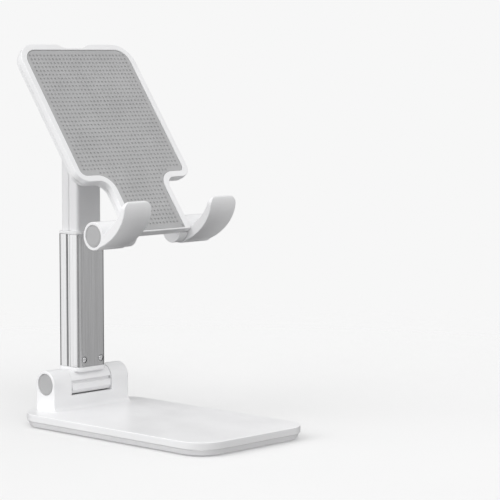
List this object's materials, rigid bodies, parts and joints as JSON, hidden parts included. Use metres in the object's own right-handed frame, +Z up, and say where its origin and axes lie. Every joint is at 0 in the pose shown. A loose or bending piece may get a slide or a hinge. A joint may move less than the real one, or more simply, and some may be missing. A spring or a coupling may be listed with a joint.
{
  "type": "folding phone stand",
  "caption": "Folding phone stand: flat base with a hinged telescopic arm, a tilting padded plate and two folding hooks that hold a phone's lower edge.",
  "frame": {"origin": "middle of the base's footprint, at the height where the feet rest", "axes": "+Z up, +X to the right of somebody facing the pad, +Y from the pad side to the back"},
  "size_m": [0.062, 0.1088, 0.1554],
  "materials": {
    "white_plastic": "fine satin",
    "grey_plastic": "satin",
    "grey_rubber": "matt",
    "sleeve_metal": "fine brushed",
    "steel": "plain"
  },
  "bodies": {
    "base": {"base_shell": "white_plastic", "base_cover": "white_plastic", "base_weight": "steel", "base_feet": "grey_rubber", "base_screws": "steel", "base_hinge_pin": "steel", "base_hinge_nut": "steel", "base_cap_left": "grey_plastic", "base_cap_right": "grey_plastic"},
    "arm": {"lower_knuckle": "white_plastic", "outer_tube": "sleeve_metal", "knuckle_screws": "steel", "tube_collar": "white_plastic", "base_hinge_washers": "steel"},
    "post": {"inner_tube": "white_plastic", "slide_friction_strip": "steel", "tilt_pin": "steel", "tilt_nut": "steel", "tilt_cap_left": "white_plastic", "tilt_cap_right": "white_plastic"},
    "plate": {"back_shell": "white_plastic", "front_frame": "white_plastic", "silicone_pad": "grey_rubber", "plate_screws": "steel", "tilt_washers": "steel", "hook_pins": "steel", "hook_washers": "steel"},
    "left_hook": {"hook_left": "white_plastic", "hook_cap_left": "grey_plastic"},
    "right_hook": {"hook_right": "white_plastic", "hook_cap_right": "grey_plastic"}
  },
  "joints": [
    {"name": "base_fold", "type": "hinge", "parent": "base", "child": "arm", "pos_m": [0, 0.04675, 0.01655], "axis": [1, 0, 0], "range_deg": [0, 55]},
    {"name": "height_slide", "type": "slide", "parent": "arm", "child": "post", "axis": [0, 0, 1], "range_m": [-0.038, 0]},
    {"name": "plate_tilt", "type": "hinge", "parent": "post", "child": "plate", "pos_m": [0, 0.04715, 0.1296], "axis": [-1, 0, 0], "range_deg": [-30, 45]},
    {"name": "left_hook_fold", "type": "hinge", "parent": "plate", "child": "left_hook", "pos_m": [0, 0.00598, 0.08061], "axis": [-1, 0, 0], "range_deg": [0, 65]},
    {"name": "right_hook_fold", "type": "hinge", "parent": "plate", "child": "right_hook", "pos_m": [0, 0.00598, 0.08061], "axis": [-1, 0, 0], "range_deg": [0, 65]}
  ]
}
